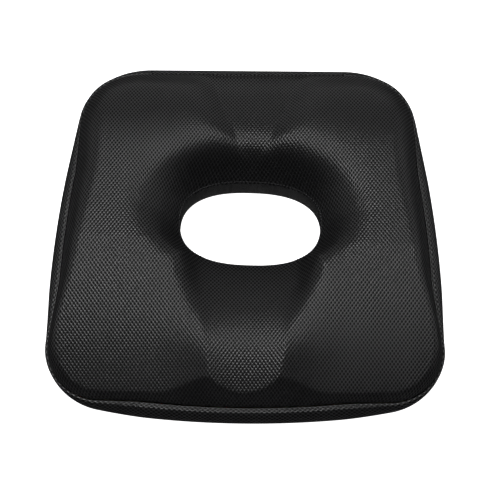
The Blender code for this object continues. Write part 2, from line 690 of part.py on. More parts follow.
def make_slider(centre, face, middle, metal):
    """Top and bottom plates joined by a post between the chain's halves, side flanges and the bridge."""
    half = SLIDER_LENGTH / 2
    side = COIL_GAP / 2 + COIL_WIDTH + ZIP_CLEARANCE
    wide = side + SLIDER_FLANGE
    top = face + PLATE_TOP
    under_top = top - SLIDER_PLATE
    tape_back = face + TAPE_FACE - TAPE_THICKNESS
    curve = BAND_BULGE * (1 - math.sqrt(1 - (wide / (BACK_SEAM_HEIGHT / 2)) ** 2))
    bottom_top = tape_back - curve - ZIP_CLEARANCE
    flange_foot = face + TAPE_FACE + ZIP_CLEARANCE
    roof = top + PULL_AXIS_LIFT + PULL_AXIS_TO_ROOF
    leg = half - 2 * BRIDGE_WALL
    overlap = SLIDER_PLATE / 2

    def block(name, low, high):
        shifted_low = (centre + low[0], low[1], middle + low[2])
        return box(name, shifted_low, (centre + high[0], high[1], middle + high[2]), metal)

    body = block("zip_slider_body", (-half, under_top, -wide), (half, top, wide))
    joined = [
        block("bottom_plate", (-half, bottom_top - SLIDER_PLATE, -wide), (half, bottom_top, wide)),
        block(
            "post",
            (-half, bottom_top - overlap, -SLIDER_POST / 2),
            (-half + 3 * SLIDER_PLATE, under_top + overlap, SLIDER_POST / 2),
        ),
    ]
    for sign in (-1, 1):
        walls = sorted([sign * side, sign * wide])
        low = (-half, flange_foot, walls[0])
        joined.append(block(f"flange_{sign}", low, (half, under_top + overlap, walls[1])))
        posts = sorted([sign * leg, sign * (leg - BRIDGE_WALL)])
        low = (posts[0], top - overlap, -BRIDGE_WIDTH / 2)
        joined.append(block(f"leg_{sign}", low, (posts[1], roof + overlap, BRIDGE_WIDTH / 2)))
    low = (-leg, roof, -BRIDGE_WIDTH / 2)
    joined.append(block("roof", low, (leg, roof + BRIDGE_WALL, BRIDGE_WIDTH / 2)))
    for tool in joined:
        bpy.data.collections[COLLECTION].objects.unlink(tool)
        bpy.data.collections["cutters"].objects.link(tool)
        tool.hide_render = True
        tool.display_type = "WIRE"
        union = body.modifiers.new(tool.name, "BOOLEAN")
        union.operation = "UNION"
        union.object = tool


def make_pull(centre, axis_y, middle, metal):
    """The pull: a flat tab whose eye holds the slider's bridge, lying towards -X, hinged on the axis."""
    slot_end = SLIDER_LENGTH / 2 - BRIDGE_WALL
    slot_half = BRIDGE_WIDTH / 2 + ZIP_CLEARANCE
    outer = rounded_outline(-PULL_BAR / 2, PULL_LENGTH, PULL_WIDTH / 2, PULL_WIDTH / 3)
    inner = rounded_outline(PULL_BAR / 2, slot_end, slot_half, slot_half / 3)
    outline = bpy.data.curves.new("zip_pull_tab", "CURVE")
    outline.dimensions = "2D"
    outline.fill_mode = "BOTH"
    outline.extrude = PULL_THICKNESS / 2
    for points in (outer, inner):
        spline = outline.splines.new("POLY")
        spline.points.add(len(points) - 1)
        for target, (x, y) in zip(spline.points, points):
            target.co = (-x, y, 0.0, 1.0)
        spline.use_cyclic_u = True
    outline.materials.append(metal)
    pull = bpy.data.objects.new("zip_pull_tab", outline)
    pull.location = (centre, axis_y, middle)
    pull.rotation_euler = (math.pi / 2, 0.0, 0.0)
    bpy.data.collections[COLLECTION].objects.link(pull)


def rounded_outline(start, end, half, radius):
    """A rectangle from start to end along X, `half` to each side, with corners of the radius."""
    points = []
    corners = [(end - radius, half - radius, 0), (start + radius, half - radius, 90)]
    corners += [(start + radius, radius - half, 180), (end - radius, radius - half, 270)]
    for x, y, first in corners:
        for turn in (0, 30, 60, 90):
            angle = math.radians(first + turn)
            points.append((x + radius * math.cos(angle), y + radius * math.sin(angle)))
    return points


def build():
    clear_scene()
    for name in (COLLECTION, "cutters"):
        collection = bpy.data.collections.new(name)
        bpy.context.scene.collection.children.link(collection)
    mesh_cloth = material("black_air_mesh", (0.012, 0.012, 0.013), 0.5)
    lining_cloth = material("black_lining_mesh", (0.014, 0.014, 0.015), 0.6)
    grip_cloth = material("black_grip_cloth", (0.02, 0.02, 0.021), 0.8)
    foam = material("memory_foam", (0.75, 0.72, 0.62), 0.9)
    black_thread = material("black_thread", (0.03, 0.03, 0.03), 0.6)
    tape_cloth = material("black_zip_tape", (0.015, 0.015, 0.016), 0.7)
    coil = material("black_nylon_coil", (0.02, 0.02, 0.022), 0.35)
    metal = material("black_painted_metal", (0.03, 0.03, 0.032), 0.35)

    around = stations()
    make_cover(around, mesh_cloth, lining_cloth, grip_cloth)
    make_foam(around, foam)
    make_threads(around, black_thread)
    make_back(mesh_cloth, tape_cloth)
    make_back_stitching(black_thread)
    make_zip(coil, metal)


build()
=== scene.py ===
"""Contoured seat cushion: a moulded foam ring in a zipped black air-mesh cover."""

import math

import bpy
import numpy as np
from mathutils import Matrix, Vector


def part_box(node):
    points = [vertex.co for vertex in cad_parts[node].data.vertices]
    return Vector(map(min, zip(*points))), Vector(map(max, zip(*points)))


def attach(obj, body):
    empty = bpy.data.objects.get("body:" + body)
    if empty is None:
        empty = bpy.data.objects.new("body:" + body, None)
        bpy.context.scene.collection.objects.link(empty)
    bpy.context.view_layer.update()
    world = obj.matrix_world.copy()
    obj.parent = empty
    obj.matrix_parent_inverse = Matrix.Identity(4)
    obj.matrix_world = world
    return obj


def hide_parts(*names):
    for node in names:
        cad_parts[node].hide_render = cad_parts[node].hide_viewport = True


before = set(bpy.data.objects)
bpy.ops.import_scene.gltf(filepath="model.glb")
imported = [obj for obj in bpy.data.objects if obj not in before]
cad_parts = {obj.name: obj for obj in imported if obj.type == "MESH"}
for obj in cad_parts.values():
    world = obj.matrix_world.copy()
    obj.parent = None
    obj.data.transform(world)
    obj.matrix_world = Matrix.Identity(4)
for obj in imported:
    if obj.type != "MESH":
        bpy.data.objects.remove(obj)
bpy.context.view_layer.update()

# The studio: a seamless pale floor, a wide softbox nearly overhead and paler side walls, with nothing
# bright in front, so that what faces the front stays dark and level cloth carries a soft shine.
scene = bpy.context.scene
scene.view_settings.view_transform = "Standard"

world = bpy.data.worlds.new("studio_air")
world.use_nodes = True
world.node_tree.nodes["Background"].inputs["Color"].default_value = (1.0, 1.0, 1.0, 1.0)
world.node_tree.nodes["Background"].inputs["Strength"].default_value = 0.01
scene.world = world

camera_data = bpy.data.cameras.new("camera")
camera_data.sensor_width = 36.0
camera_data.lens = 84.2
camera = bpy.data.objects.new("camera", camera_data)
camera_height, camera_turn, camera_distance = math.radians(68.13), math.radians(0.56), 1.3
aim = Vector((0.0, -0.0164, 0.035))
toward_camera = Vector((
    math.sin(camera_turn) * math.cos(camera_height),
    -math.cos(camera_turn) * math.cos(camera_height),
    math.sin(camera_height),
))
camera.location = aim + toward_camera * camera_distance
camera.rotation_euler = toward_camera.to_track_quat("Z", "Y").to_euler()
scene.collection.objects.link(camera)
scene.camera = camera


def softbox(name, place, facing, width, depth, power):
    """A flat rectangular light at a place, turned to face a point."""
    lamp = bpy.data.lights.new(name, "AREA")
    lamp.shape = "RECTANGLE"
    lamp.size = width
    lamp.size_y = depth
    lamp.energy = power
    box = bpy.data.objects.new(name, lamp)
    box.location = place
    box.rotation_euler = (Vector(place) - Vector(facing)).to_track_quat("Z", "Y").to_euler()
    scene.collection.objects.link(box)


middle = (0.0, 0.0, 0.04)
softbox("softbox_overhead", (-0.12, 0.12, 1.5), middle, 0.65, 0.65, 10.4)
softbox("panel_left", (-1.5, 0.3, 0.6), middle, 1.6, 1.2, 3.4)
softbox("panel_right", (1.5, 0.3, 0.6), middle, 1.6, 1.2, 4.5)
softbox("panel_back", (0.0, 1.6, 0.35), middle, 2.0, 0.6, 3.0)

floor_paint = bpy.data.materials.new("pale_floor")
floor_paint.use_nodes = True
floor_shader = floor_paint.node_tree.nodes["Principled BSDF"]
floor_shader.inputs["Base Color"].default_value = (0.9, 0.9, 0.9, 1.0)
floor_shader.inputs["Roughness"].default_value = 1.0
floor_shader.inputs["Specular IOR Level"].default_value = 0.0
floor_shader.inputs["Emission Color"].default_value = (1.0, 1.0, 1.0, 1.0)
floor_shader.inputs["Emission Strength"].default_value = 1.35
floor_mesh = bpy.data.meshes.new("floor")
floor_reach = 6.0
floor_corners = [(x * floor_reach, y * floor_reach, 0.0) for x, y in ((-1, -1), (1, -1), (1, 1), (-1, 1))]
floor_mesh.from_pydata(floor_corners, [], [(0, 1, 2, 3)])
floor_mesh.materials.append(floor_paint)
floor = bpy.data.objects.new("floor", floor_mesh)
wall_sides = 64
wall_turn = np.linspace(0.0, 2 * math.pi, wall_sides, endpoint=False)
wall_ring = floor_reach * np.column_stack([np.cos(wall_turn), np.sin(wall_turn)])
wall_foot, wall_top = (np.column_stack([wall_ring, np.full(wall_sides, z)]) for z in (0.0, floor_reach))
wall_first = np.arange(wall_sides)
wall_after = (wall_first + 1) % wall_sides
wall_faces = np.column_stack([wall_first, wall_after, wall_after + wall_sides, wall_first + wall_sides])
wall_mesh = bpy.data.meshes.new("backdrop")
wall_mesh.from_pydata(np.concatenate([wall_foot, wall_top]).tolist(), [], wall_faces.tolist())
wall_mesh.materials.append(floor_paint)
backdrop = bpy.data.objects.new("backdrop", wall_mesh)
backdrop.visible_diffuse = False
for staged in (floor, backdrop):
    staged.visible_glossy = False
    scene.collection.objects.link(staged)


# Top panel: black three-layer air mesh, cut as one flat oval ring and stretched over the moulded foam.
# It is overlocked to the side band round the outside and to the lining round the hole.
seam_width, seam_depth = 0.414, 0.397
back_corner, front_corner = 0.073, 0.057
side_lean, side_toe, front_crown = math.radians(10.5), math.radians(2.0), math.radians(8.5)
front_seam_height, back_seam_height = 0.030, 0.050
seam_gap = 0.001
seam_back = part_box("cover_top_panel")[1].y + seam_gap / 2
hole_length, hole_width, hole_roundness, hole_to_back = 0.160, 0.101, 2.5, 0.184
hole_centre = np.array([0.0046, seam_back - hole_to_back])
relief_turn = math.radians(-1.5)
hole_to_front = seam_depth - hole_to_back


def arc_run(heading, turn):
    """How far a clockwise arc of unit radius goes: the sines and cosines of its two headings, subtracted."""
    return np.array([np.sin(heading) - np.sin(heading - turn), np.cos(heading - turn) - np.cos(heading)])


def plan_arcs():
    """Half of the seam's plan: the straight half of the back, then arcs as (radius, heading, turn).

    The three free lengths solve three equations: the half width, the depth, and a front on the middle line.
    """
    turns = [math.pi / 2 - side_lean, side_lean, side_toe, math.pi / 2 - side_toe - front_crown, front_crown]
    headings = [-sum(turns[:index]) for index in range(len(turns))]
    back, side_out, side_in, corner, front = [arc_run(*pair) for pair in zip(headings, turns)]
    rows = [
        [1.0, side_out[0], 0.0],
        [1.0, side_out[0] + side_in[0], front[0]],
        [0.0, side_out[1] + side_in[1], front[1]],
    ]
    corners = back_corner * back + front_corner * corner
    known = [seam_width / 2 - back_corner * back[0], -corners[0], -seam_depth - corners[1]]
    straight, side_radius, front_radius = np.linalg.solve(rows, known)
    return straight, [
        (back_corner, headings[0], turns[0]),
        (side_radius, headings[1], turns[1] + turns[2]),
        (front_corner, headings[3], turns[3]),
        (front_radius, headings[4], turns[4]),
    ]


straight_half, seam_arcs = plan_arcs()
seam_half = straight_half + sum(radius * turn for radius, heading, turn in seam_arcs)


def ease(value):
    """Rises from 0 to 1 as 3t^2 - 2t^3."""
    value = np.clip(value, 0.0, 1.0)
    return value * value * (3 - 2 * value)


def seam_plan(distances):
    """Points and outward directions at distances along the seam, clockwise from the middle of the back.

    A straight run is followed by arcs, each entered by what is left of the distance.
    """
    along = np.abs(distances)
    points = np.stack([np.minimum(along, straight_half), np.full_like(along, seam_back)], axis=-1)
    heading = np.zeros_like(along)
    start = straight_half
    for radius, first, turn in seam_arcs:
        turned = np.clip((along - start) / radius, 0.0, turn)
        points = points + radius * arc_run(first, turned).T
        heading = heading - turned
        start += radius * turn
    side = np.where(distances < 0, -1.0, 1.0)
    points[:, 0] *= side
    return points, np.stack([-side * np.sin(heading), np.cos(heading)], axis=-1)


def rise(distance, span):
    """Eases from 0 to 1 over a span of distance."""
    return ease((distance - span[0]) / (span[1] - span[0]))


back_pull, back_pull_rise, back_pull_fall = 0.008, (0.0, 0.070), (0.085, 0.175)
front_pull, front_pull_rise, front_pull_fall = 0.010, (0.100, 0.215), (0.225, 0.320)


def top_seam(distances):
    """The top seam: the plan, carried out over the band where the cloth is drawn tight round a corner, with
    a rise and a fall past the back corner and another round the front one."""
    points, outward = seam_plan(distances)
    past_back = np.abs(distances) - straight_half
    from_front = seam_half - np.abs(distances)
    back = rise(past_back, back_pull_rise) * (1 - rise(past_back, back_pull_fall))
    front = rise(from_front, front_pull_rise) * (1 - rise(from_front, front_pull_fall))
    return points + outward * (back_pull * back + front_pull * front)[:, None], outward


def seam_height(y):
    """The seam's height rises in a straight line from the front to the back."""
    share = (y - (seam_back - seam_depth)) / seam_depth
    return front_seam_height + (back_seam_height - front_seam_height) * share


def relief_axes(points):
    """Plan points measured from the hole's centre, along axes turned with the moulding."""
    away = points - hole_centre
    c, s = math.cos(relief_turn), math.sin(relief_turn)
    return away[..., 0] * c + away[..., 1] * s, away[..., 1] * c - away[..., 0] * s


def hole_reach(u, v):
    """The rim's distance from the hole's centre: a superellipse, (x/a)^n + (y/b)^n = 1, in polar form."""
    size = np.hypot(u, v)
    across = np.abs(u / size / (hole_length / 2)) ** hole_roundness
    along = np.abs(v / size / (hole_width / 2)) ** hole_roundness
    return (across + along) ** (-1 / hole_roundness)


def soft_min(first, second, blend):
    """The lower of two heights, rounded where they cross: minus the log of the sum of their falls."""
    return -blend * np.logaddexp(-first / blend, -second / blend)


ridge_height, front_seat_height, back_seat_height, rim_height = 0.084, 0.038, 0.059, 0.032
front_fall_start, front_fall_straight, back_fall_power = 0.0404, 0.45, 2.1
pommel_root, pommel_tip = 0.059, 0.038
pommel_root_reach, pommel_tip_reach = 0.072, hole_to_front - 0.032
pommel_lift, pommel_fall, pommel_lift_run = 0.013, 0.030, 0.8
pommel_dish, root_dish = 0.0035, 0.006
bowl_side, bowl_back, bowl_corner, bowl_blend, foot_lift = 1.75, 1.60, 3.2, 0.020, 0.0016
ramp_slope, cheek_slope, cheek_blend, ramp_back_slope = 0.66, 2.3, 0.004, 3.0
recess_reach, recess_half, recess_tip = 0.068, 0.052, 0.0810
recess_slope, recess_wall, recess_spread, recess_blend = 0.26, 0.5, 0.6, 0.0030
side_shoulder, front_shoulder, tip_shoulder = 0.034, 0.007, 0.024
side_shoulder_full, shoulder_roundness, tip_roundness = 0.625, 2.2, 1.35
tip_spread, tip_hollow = 0.058, 0.15


def seat_height(u, v):
    """The seat without its bowl: a ridge that falls partly straight and partly as a square to the front,
    and as a power to the back, plus the pommel, a lift between the thighs less a shallow parabolic dish."""
    ahead = np.maximum(-v - front_fall_start, 0.0) / (hole_to_front - front_fall_start)
    behind = np.maximum(v - recess_reach, 0.0) / (hole_to_back - recess_reach)
    front_fall = front_fall_straight * ahead + (1 - front_fall_straight) * ahead**2
    seat = ridge_height - (ridge_height - front_seat_height) * front_fall
    seat = seat - (ridge_height - back_seat_height) * behind**back_fall_power
    forward = np.clip((-v - pommel_root_reach) / (pommel_tip_reach - pommel_root_reach), -0.5, 1.0)
    edge = pommel_root + (pommel_tip - pommel_root) * forward
    outside = np.maximum(np.abs(u) - edge, 0.0)
    inside = np.clip(1 - (u / edge) ** 2, 0.0, 1.0)
    dish = pommel_dish + (root_dish - pommel_dish) * np.clip(1 - forward, 0.0, 1.0) ** 2
    lift = pommel_lift * ease(forward / pommel_lift_run) * np.exp(-outside / pommel_fall)
    return seat + lift - dish * ease(-v / hole_width) * inside


def bowl_height(u, v):
    """The bowl: a straight rise from the hole's rim, steepest at the back, cut by the pommel's gentler ramp,
    a plane from the rim to the front between steep cheeks."""
    size = np.hypot(u, v)
    back, front = np.clip(v / size, 0.0, 1.0), np.clip(-v / size, 0.0, 1.0)
    slope = bowl_side + (bowl_back - bowl_side) * back**2 + (bowl_corner - bowl_side) * front
    bowl = rim_height + foot_lift + slope * np.maximum(size - hole_reach(u, v), 0.0)
    across = np.clip(np.abs(u) / (hole_length / 2), 0.0, 1.0)
    ahead = -v - hole_width / 2 * (1 - across**hole_roundness) ** (1 / hole_roundness)
    forward = (-v - pommel_root_reach) / (pommel_tip_reach - pommel_root_reach)
    edge = pommel_root + (pommel_tip - pommel_root) * np.clip(forward, 0.0, 1.0)
    cheek = cheek_slope * -soft_min(edge - np.abs(u), 0.0, cheek_blend)
    ramp = rim_height + foot_lift + ramp_slope * np.maximum(ahead, 0.0) + cheek
    ramp = ramp + ramp_back_slope * np.maximum(-ahead, 0.0)
    return np.minimum(bowl, ramp)


def recess_height(u, v):
    """The tailbone recess: a floor that falls to the back between walls that rise to each side."""
    depth = np.clip((v - recess_reach) / (hole_to_back - recess_reach), 0.0, 1.0)
    wall = recess_wall * np.maximum(np.abs(u) - recess_half * depth**recess_spread, 0.0)
    return recess_tip - recess_slope * (v - recess_reach) + wall


def top_height(points, inward, seam_z, front_facing):
    """The top's height: the lowest of seat, recess and bowl, rounded down to the seam by a power curve."""
    u, v = relief_axes(points)
    seat = soft_min(seat_height(u, v), recess_height(u, v), recess_blend)
    relief = soft_min(seat, bowl_height(u, v), bowl_blend)
    past = np.abs(u) - pommel_tip
    between = tip_hollow + (1 - tip_hollow) * (u / pommel_tip) ** 2
    tips = np.where(past > 0, 1 - ease(past / tip_spread), between)
    at_front = front_shoulder + (tip_shoulder - front_shoulder) * tips
    back_share = (points[..., 1] - (seam_back - seam_depth)) / seam_depth
    toward_back = np.clip(back_share / side_shoulder_full, 0.0, 1.0)
    beside = front_shoulder + (side_shoulder - front_shoulder) * toward_back
    shoulder = beside + (at_front - beside) * front_facing
    roundness = shoulder_roundness + (tip_roundness - shoulder_roundness) * tips * front_facing
    share = np.clip(inward / shoulder, 0.0, 1.0)
    return seam_z + (relief - seam_z) * (1 - (1 - share) ** roundness)


def top_rings(distances, shares):
    """The top's grid. Each column is a straight line in plan from the hole's rim out to the seam."""
    seam, outward = top_seam(distances)
    away = seam - hole_centre
    direction = away / np.linalg.norm(away, axis=1)[:, None]
    rim = hole_centre + direction * hole_reach(*relief_axes(seam))[:, None]
    squareness = np.sum(direction * outward, axis=1)
    front_facing = np.clip(-outward[:, 1], 0.0, 1.0) ** 4
    points = rim + (seam - rim) * shares[:, None, None]
    inward = np.linalg.norm(seam - points, axis=2) * squareness
    height = top_height(points, inward, seam_height(seam[:, 1]), front_facing)
    return np.concatenate([points, height[..., None]], axis=2)


def grid_normals(grid, closed=True):
    """Unit normals of a grid: the step to the next column crossed with the step to the next row."""
    if closed:
        around = np.roll(grid, -1, axis=1) - np.roll(grid, 1, axis=1)
    else:
        around = np.gradient(grid, axis=1)
    normal = np.cross(around, np.gradient(grid, axis=0))
    return normal / np.linalg.norm(normal, axis=2)[..., None]


def run_down(grid):
    """Distance down each column of a grid from its first row, added up step by step."""
    steps = np.linalg.norm(np.diff(grid, axis=0), axis=2)
    return np.concatenate([np.zeros((1, grid.shape[1])), np.cumsum(steps, axis=0)])


def skin(name, grid, weave, finishes, closed=False, wall=0.0):
    """A piece skinned over a grid of points: each face joins four neighbours, and closed joins the last
    column to the first. weave is each corner's place in the cloth, in metres, kept as a UV map."""
    rows, columns = grid.shape[:2]
    wraps = columns if closed else columns - 1
    first = np.arange(wraps)
    row = np.arange(rows - 1)[:, None] * columns
    after = (first + 1) % columns
    faces = np.stack([row + first, row + after, row + columns + after, row + columns + first], axis=-1)
    mesh = bpy.data.meshes.new(name)
    mesh.from_pydata(grid.reshape(-1, 3).tolist(), [], faces.reshape(-1, 4).tolist())
    near, far = weave[:-1], weave[1:]
    if closed and weave.shape[1] == columns:
        near, far = [np.concatenate([part, part[:, :1]], axis=1) for part in (near, far)]
    here, there = slice(0, wraps), slice(1, wraps + 1)
    corners = np.stack([near[:, here], near[:, there], far[:, there], far[:, here]], axis=2)
    mesh.uv_layers.new(name="weave").data.foreach_set("uv", corners.astype(np.float32).ravel())
    return add_piece(name, mesh, finishes, wall)


def add_piece(name, mesh, finish, wall=0.0):
    """Links a finished mesh as a piece, smooth, with a wall thickness on its inner side if it has one."""
    mesh.shade_smooth()
    mesh.materials.append(finish)
    piece = bpy.data.objects.new(name, mesh)
    scene.collection.objects.link(piece)
    if wall:
        thickness = piece.modifiers.new("thickness", "SOLIDIFY")
        thickness.thickness = wall
        thickness.offset = -1.0
    return piece


class Signal:
    """An output of a material's nodes. Arithmetic on it adds Math nodes, and node() adds any other."""

    def __init__(self, tree, socket=None):
        self.tree = tree
        self.socket = socket

    def node(self, kind, settings=None, inputs=None, output=0):
        """Adds a node, makes its settings, then feeds its sockets with values or other signals."""
        made = self.tree.nodes.new("ShaderNode" + kind)
        for name, value in (settings or {}).items():
            setattr(made, name, value)
        for name, value in (inputs or {}).items():
            if isinstance(value, Signal):
                self.tree.links.new(value.socket, made.inputs[name])
            else:
                made.inputs[name].default_value = value
        return Signal(self.tree, made.outputs[output])

    def math(self, operation, *others):
        return self.node("Math", {"operation": operation}, dict(enumerate((self, *others))))

    def __add__(self, other):
        return self.math("ADD", other)

    def __sub__(self, other):
        return self.math("SUBTRACT", other)

    def __rsub__(self, other):
        return self.node("Math", {"operation": "SUBTRACT"}, {0: other, 1: self})

    def __mul__(self, other):
        return self.math("MULTIPLY", other)

    def __truediv__(self, other):
        return self.math("DIVIDE", other)

    def __pow__(self, other):
        return self.math("POWER", other)

    __radd__ = __add__
    __rmul__ = __mul__

    def step(self, low, high, from_value=0.0, to_value=1.0):
        """Goes smoothly from one value to another as the signal goes from low to high."""
        settings = {"interpolation_type": "SMOOTHSTEP"}
        sockets = {"Value": self, "From Min": low, "From Max": high, "To Min": from_value, "To Max": to_value}
        return self.node("MapRange", settings, sockets)

    def blend(self, first, second):
        """A colour between two colours, by the signal."""
        made = self.tree.nodes.new("ShaderNodeMix")
        made.data_type = "RGBA"
        self.tree.links.new(self.socket, made.inputs["Factor"])
        for socket, value in zip(("A_Color", "B_Color"), (first, second)):
            target = next(s for s in made.inputs if s.identifier == socket)
            if isinstance(value, Signal):
                self.tree.links.new(value.socket, target)
            else:
                target.default_value = (*value, 1.0)
        return Signal(self.tree, next(s for s in made.outputs if s.identifier == "Result_Color"))


def start_finish(name, **constants):
    """A new material: its shader with constant sockets set, and an empty signal to build from."""
    finish = bpy.data.materials.new(name)
    finish.use_nodes = True
    shader = finish.node_tree.nodes["Principled BSDF"]
    for socket, value in constants.items():
        shader.inputs[socket.replace("_", " ")].default_value = value
    return finish, shader, Signal(finish.node_tree)


def feed(shader, signal, socket):
    signal.tree.links.new(signal.socket, shader.inputs[socket])


hole_edge, hole_lip, strand_crown = 0.70, 1.25, 1.75


def air_mesh(name, pitch, hole, depth, strand, hole_shade, roughness):
    """Warp-knit air mesh on the piece's own cloth map: oval holes on two crossed lattices, set half a pitch
    apart, between raised strands of fine yarn. The holes get a near-black, low-shine shader: the dark spacer
    yarn seen through them, made darker still as painted shade of their depth. Distance from a hole is in
    radii, sqrt(x^2 + y^2)."""
    (pitch_x, pitch_y), (hole_x, hole_y) = pitch, hole
    finish, shader, paint = start_finish(name, Specular_IOR_Level=1.1)
    place = paint.node("UVMap", {"uv_map": "weave"})
    x = paint.node("SeparateXYZ", None, {"Vector": place}, 0)
    y = paint.node("SeparateXYZ", None, {"Vector": place}, 1)

    def from_hole(shift):
        across = ((x / pitch_x + shift).math("FRACT") - 0.5) * (pitch_x / hole_x)
        along = ((y / pitch_y + shift).math("FRACT") - 0.5) * (pitch_y / hole_y)
        return (across * across + along * along) ** 0.5

    first = from_hole(0.0)
    away = first.math("MINIMUM", from_hole(0.5))
    raised = away.step(hole_edge, hole_lip)
    yarn = paint.node("TexNoise", None, {"Vector": place, "Scale": 2600.0, "Detail": 2.0})
    wear = paint.node("TexNoise", None, {"Vector": place, "Scale": 22.0, "Detail": 3.0})
    dim = wear.step(0.3, 0.7, 0.85, 1.15) * (0.75 + yarn * 0.5)
    shade = paint.node("CombineXYZ", None, {"X": dim, "Y": dim, "Z": dim})
    tone = paint.node("VectorMath", {"operation": "MULTIPLY"}, {0: strand, 1: shade})
    feed(shader, tone, "Base Color")
    height = away.step(hole_edge, strand_crown) * depth + yarn * (depth * 0.2)
    bump = paint.node("Bump", None, {"Height": height, "Strength": 1.0, "Distance": 1.0})
    feed(shader, bump, "Normal")
    shader.inputs["Roughness"].default_value = roughness
    # The holes: a near-black colour, partly the dark spacer yarn and partly painted shade of their depth.
    hole_shade_shader = paint.node("BsdfPrincipled", None, {
        "Base Color": (*hole_shade, 1.0), "Roughness": 0.6, "Specular IOR Level": 0.18
    })
    paint.socket = shader.outputs["BSDF"]
    mixed = paint.node("MixShader", None, {0: raised, 1: hole_shade_shader, 2: paint})
    paint.tree.links.new(mixed.socket, paint.tree.nodes["Material Output"].inputs["Surface"])
    return finish


# Its holes' near-black colour is painted shade of their depth over the dark spacer yarn.
panel_finish = air_mesh(
    "black_air_mesh", pitch=(0.0041, 0.0055), hole=(0.00115, 0.00160), depth=0.00024,
    strand=(0.014, 0.014, 0.015), hole_shade=(0.0040, 0.0040, 0.0042), roughness=0.37,
)

# The cloth map is the plan, carried out along each column by half the extra length that the relief takes.
columns, rows = 560, 66
round_ring = np.linspace(-seam_half, seam_half, columns, endpoint=False)
shares = 0.5 - 0.5 * np.cos(np.linspace(0.0, math.pi, rows))
panel = top_rings(round_ring, shares)
seam, outward = top_seam(round_ring)

flat_run = run_down(panel * [1, 1, 0])
spare = run_down(panel) - flat_run
ray = panel[-1, :, :2] - panel[0, :, :2]
ray = ray / np.linalg.norm(ray, axis=1)[:, None]
panel_weave = panel[..., :2] + ray * ((spare - spare[rows // 2]) * 0.5)[..., None]

# Both edges are turned under: each row lies a step in from the edge, a step down, and so far on in the cloth.
panel_wall = 0.0015
seam_folds = (0.0003, -0.0006, 0.0008), (0.0010, -0.0016, 0.0018), (0.0014, -0.0030, 0.0032)
rim_folds = (0.0012, -0.0030, 0.0030), (0.0003, -0.0020, 0.0020), (-0.0002, -0.0010, 0.0010)
turned_seam = [
    np.column_stack([seam - outward * (seam_gap / 2 + back), panel[-1, :, 2] + down])
    for back, down, cloth in seam_folds
]
panel[-1, :, :2] -= outward * seam_gap / 2
turned_rim = [
    np.column_stack([panel[0, :, :2] + ray * back, panel[0, :, 2] + down]) for back, down, cloth in rim_folds
]
panel_grid = np.concatenate([turned_rim, panel, turned_seam])
panel_weave = np.concatenate([
    [panel_weave[0] - ray * cloth for back, down, cloth in rim_folds], panel_weave,
    [panel_weave[-1] + ray * cloth for back, down, cloth in seam_folds],
])
top_panel = skin("cover_top_air_mesh", panel_grid, panel_weave, panel_finish, closed=True, wall=panel_wall)
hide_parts("cover_top_panel")
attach(top_panel, "cushion")


# Side band: the same air mesh turned a quarter, one strip round the front and both sides that bulges
# over the foam between the top seam and the bottom seam.
bulge, band_fullness, pull_loss = 0.0145, 1.15, 0.8
band_columns, band_rows = 640, 30
band_ends = np.linspace(straight_half, 2 * seam_half - straight_half, band_columns)
band_ring = np.where(band_ends > seam_half, band_ends - 2 * seam_half, band_ends)


def band_rings(distances, angles):
    """The band's grid, from the top seam to the bottom one: as angle t goes from 0 to pi, the height falls
    as (1 + cos t) / 2 and the cloth stands out by a power of sin t, less where the top seam is pulled out."""
    foot, outward = seam_plan(distances)
    top = top_seam(distances)[0]
    share = 0.5 + 0.5 * np.cos(angles)[:, None, None]
    proud = bulge - pull_loss * np.linalg.norm(top - foot, axis=1)
    out = outward * (np.maximum(np.sin(angles), 0.0)[:, None] ** band_fullness * proud)[..., None]
    height = seam_height(top[:, 1]) * share[..., 0]
    return np.concatenate([foot + (top - foot) * share + out, height[..., None]], axis=2)


band_angles = math.pi * (0.5 - 0.5 * np.cos(np.linspace(0.0, math.pi, band_rows)))
band = band_rings(band_ring, band_angles)
band_seam, band_out = top_seam(band_ring)
band_foot = seam_plan(band_ring)[0]
seam_z = band[0, :, 2].copy()
crease = 0.0014
band[:-1, :, 2] = np.minimum(band[:-1, :, 2], seam_z - crease)


def turned_edge(edge, out, height):
    """A row beside an edge of the band: a distance out from it, at a height."""
    return np.column_stack([edge + band_out * out, np.broadcast_to(height, len(edge))])


band_top_folds = (0.0002, 0.0048), (0.0005, 0.0026), (0.0016, 0.0016)
band_foot_folds = (0.0016, 0.0), (0.0006, 0.0008), (0.0003, 0.0026)
band_grid = np.concatenate([
    [turned_edge(band_seam, out, seam_z - down) for out, down in band_top_folds],
    band[len(band_top_folds) : -len(band_foot_folds) + 1],
    [turned_edge(band_foot, out, up) for out, up in band_foot_folds],
])
band_weave = np.stack([run_down(band_grid), np.broadcast_to(band_ends, band_grid.shape[:2])], axis=2)
side_band = skin("cover_side_air_mesh", band_grid, band_weave, panel_finish, wall=panel_wall)
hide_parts("cover_side_band")
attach(side_band, "cushion")


# Back strips: the back of the band, cut in two along the zip. Each is a straight strip of the air mesh,
# folded under along the zip and turned in along its seam.
back_half = back_seam_height / 2
zip_opening = 0.012
strip_run = straight_half - seam_gap / 2


def back_section(angles, depth=0.0):
    """Y and Z at angles from the back's top, a depth inside its outer face: out by a power of the angle's
    sine, and down by its cosine, as the side band is."""
    y = seam_back + bulge * np.sin(angles) ** band_fullness
    z = back_half * (1 + np.cos(angles))
    lean = bulge * band_fullness * np.sin(angles) ** (band_fullness - 1) * np.cos(angles)
    out = np.stack([np.sin(angles) * back_half, lean], axis=-1)
    out = out / np.linalg.norm(out, axis=-1)[..., None]
    return np.stack([y, z], axis=-1) - out * np.reshape(depth, (-1, 1))


def straight_grid(section, xs):
    """A section in Y and Z, drawn straight along X."""
    grid = np.empty((len(section), len(xs), 3))
    grid[..., 0] = xs
    grid[..., 1:] = section[:, None, :]
    return grid


